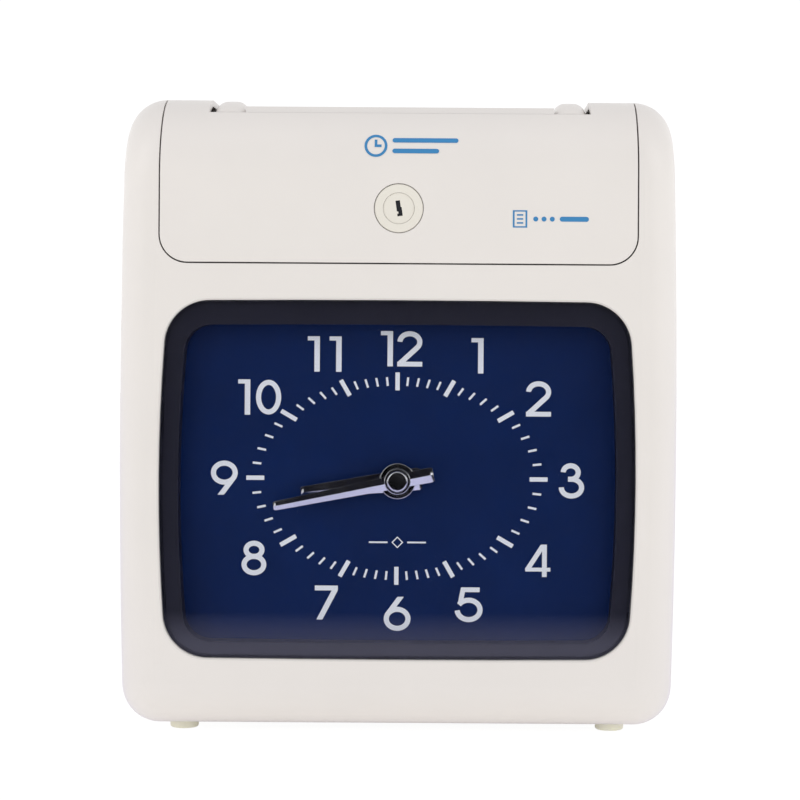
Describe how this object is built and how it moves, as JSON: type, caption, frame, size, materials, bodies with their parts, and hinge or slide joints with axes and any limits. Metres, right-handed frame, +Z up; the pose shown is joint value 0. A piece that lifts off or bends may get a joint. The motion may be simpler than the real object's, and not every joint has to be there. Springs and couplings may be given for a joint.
{
  "type": "punch time clock",
  "caption": "Card time recorder in an ivory plastic case with a wide dark-blue analogue dial behind a clear window, a locked flap above it and a card slot in the top.",
  "frame": {"origin": "middle of the footprint, at the height of the surface the feet stand on", "axes": "+X to the right seen from the front, the front faces -Y, +Z up"},
  "size_m": [0.205, 0.125, 0.2336],
  "materials": {
    "case_plastic": "satin ivory moulded plastic",
    "clear_plastic": "clear polished acrylic",
    "bezel_plastic": "dark grey moulded plastic",
    "dial_print": "satin navy print on a thin sheet",
    "chrome_hand": "polished",
    "lock_face": "ivory moulded plastic",
    "steel": "zinc plated",
    "brass": "turned and hobbed",
    "white_acetal": "natural acetal",
    "dark_plastic": "black moulded plastic",
    "foot_rubber": "soft translucent rubber",
    "roller_rubber": "ground black rubber",
    "ribbon_fabric": "inked nylon",
    "circuit_board": "solder-masked laminate",
    "display_glass": "grey-green liquid crystal display",
    "button_plastic": "grey moulded plastic",
    "iron_core": "varnished laminations",
    "battery_sleeve": "green shrink sleeve"
  },
  "bodies": {
    "root": {"front_cover": "case_plastic", "rear_cover": "case_plastic", "card_inlet": "case_plastic", "case_screws": "steel", "power_inlet": "dark_plastic", "hinge_pins": "steel", "dial_window": "clear_plastic", "dial_bezel": "bezel_plastic", "dial_plate": "dial_print", "movement_front": "dark_plastic", "movement_back": "dark_plastic", "movement_nut": "brass", "clock_motor": "steel", "chassis": "steel", "card_guide_front": "steel", "card_guide_rear": "steel", "platen_bar": "dark_plastic", "feed_motor": "steel", "guide_rods": "steel", "drive_belt": "roller_rubber", "carriage_motor": "steel", "ribbon_cartridge": "dark_plastic", "ribbon_band": "ribbon_fabric", "setting_panel": "button_plastic", "lcd_display": "display_glass", "main_board": "circuit_board", "transformer": "iron_core", "backup_battery": "battery_sleeve", "foot_front_left": "foot_rubber", "foot_front_right": "foot_rubber", "foot_rear_left": "foot_rubber", "foot_rear_right": "foot_rubber"},
    "door": {"door": "case_plastic", "lock_housing": "lock_face", "lock_nut": "steel"},
    "lock": {"lock_plug": "lock_face", "lock_cam": "steel", "cam_screw": "steel"},
    "minute_train": {"minute_arbor": "brass", "drive_wheel": "white_acetal", "minute_hand": "chrome_hand", "hand_cap": "chrome_hand"},
    "hour_train": {"hour_wheel": "white_acetal", "hour_hand": "chrome_hand"},
    "intermediate_wheel": {"minute_wheel": "brass"},
    "clock_rotor": {"clock_pinion": "brass"},
    "feed_shaft_set": {"feed_shaft": "steel", "feed_rollers": "roller_rubber", "feed_gear": "white_acetal"},
    "feed_rotor": {"feed_pinion": "brass"},
    "pinch_roller": {"pinch_roller": "white_acetal"},
    "carriage": {"print_carriage": "dark_plastic", "print_head": "steel"},
    "idler_pulley": {"belt_pulley": "white_acetal"},
    "carriage_rotor": {"motor_pulley": "white_acetal"},
    "ribbon_knob": {"ribbon_knob": "button_plastic"},
    "button_mode": {"set_button_mode": "button_plastic"},
    "button_enter": {"set_button_enter": "button_plastic"},
    "button_up": {"set_button_up": "button_plastic"},
    "button_down": {"set_button_down": "button_plastic"}
  },
  "joints": [
    {"name": "door_hinge", "type": "hinge", "parent": "root", "child": "door", "pos_m": [0, -0.002, 0.2281], "axis": [-1, 0, 0], "range_deg": [0, 90]},
    {"name": "lock_turn", "type": "hinge", "parent": "door", "child": "lock", "pos_m": [0, -0.055, 0.1922], "axis": [0, 1, 0], "range_deg": [0, 90]},
    {"name": "minute_turn", "type": "hinge", "parent": "root", "child": "minute_train", "pos_m": [0, -0.05, 0.0926], "axis": [0, 1, 0], "continuous": true},
    {"name": "hour_turn", "type": "hinge", "parent": "root", "child": "hour_train", "pos_m": [0, -0.05, 0.0926], "axis": [0, 1, 0], "continuous": true},
    {"name": "intermediate_turn", "type": "hinge", "parent": "root", "child": "intermediate_wheel", "pos_m": [0.015, -0.043, 0.0926], "axis": [0, 1, 0], "continuous": true},
    {"name": "clock_rotor_turn", "type": "hinge", "parent": "root", "child": "clock_rotor", "pos_m": [0, -0.04, 0.0746], "axis": [0, 1, 0], "continuous": true},
    {"name": "feed_turn", "type": "hinge", "parent": "root", "child": "feed_shaft_set", "pos_m": [0, -0.0047, 0.158], "axis": [1, 0, 0], "continuous": true},
    {"name": "feed_rotor_turn", "type": "hinge", "parent": "root", "child": "feed_rotor", "pos_m": [0.06, 0.0109, 0.158], "axis": [1, 0, 0], "continuous": true},
    {"name": "pinch_turn", "type": "hinge", "parent": "root", "child": "pinch_roller", "pos_m": [0, -0.0173, 0.158], "axis": [1, 0, 0], "continuous": true},
    {"name": "carriage_slide", "type": "slide", "parent": "root", "child": "carriage", "axis": [1, 0, 0], "range_m": [-0.028, 0.028]},
    {"name": "idler_turn", "type": "hinge", "parent": "root", "child": "idler_pulley", "pos_m": [-0.046, -0.031, 0.17], "axis": [0, 1, 0], "range_deg": [-256, 256]},
    {"name": "carriage_rotor_turn", "type": "hinge", "parent": "root", "child": "carriage_rotor", "pos_m": [0.046, -0.031, 0.17], "axis": [0, 1, 0], "range_deg": [-256, 256]},
    {"name": "ribbon_knob_turn", "type": "hinge", "parent": "root", "child": "ribbon_knob", "pos_m": [-0.038, -0.036, 0.2103], "axis": [0, 1, 0], "continuous": true},
    {"name": "button_mode_press", "type": "slide", "parent": "root", "child": "button_mode", "axis": [0, 1, 0], "range_m": [0, 0.0012], "stiffness_N_per_m": 300},
    {"name": "button_enter_press", "type": "slide", "parent": "root", "child": "button_enter", "axis": [0, 1, 0], "range_m": [0, 0.0012], "stiffness_N_per_m": 300},
    {"name": "button_up_press", "type": "slide", "parent": "root", "child": "button_up", "axis": [0, 1, 0], "range_m": [0, 0.0012], "stiffness_N_per_m": 300},
    {"name": "button_down_press", "type": "slide", "parent": "root", "child": "button_down", "axis": [0, 1, 0], "range_m": [0, 0.0012], "stiffness_N_per_m": 300}
  ],
  "couplings": [
    {"joint": "hour_turn", "follows": "minute_turn", "ratio": 0.083333},
    {"joint": "intermediate_turn", "follows": "minute_turn", "ratio": -0.33333},
    {"joint": "clock_rotor_turn", "follows": "minute_turn", "ratio": -5},
    {"joint": "feed_rotor_turn", "follows": "feed_turn", "ratio": -3.3333},
    {"joint": "pinch_turn", "follows": "feed_turn", "ratio": -1.4},
    {"joint": "idler_turn", "follows": "carriage_slide", "rad_per_m": 158.73},
    {"joint": "carriage_rotor_turn", "follows": "carriage_slide", "rad_per_m": 158.73}
  ]
}
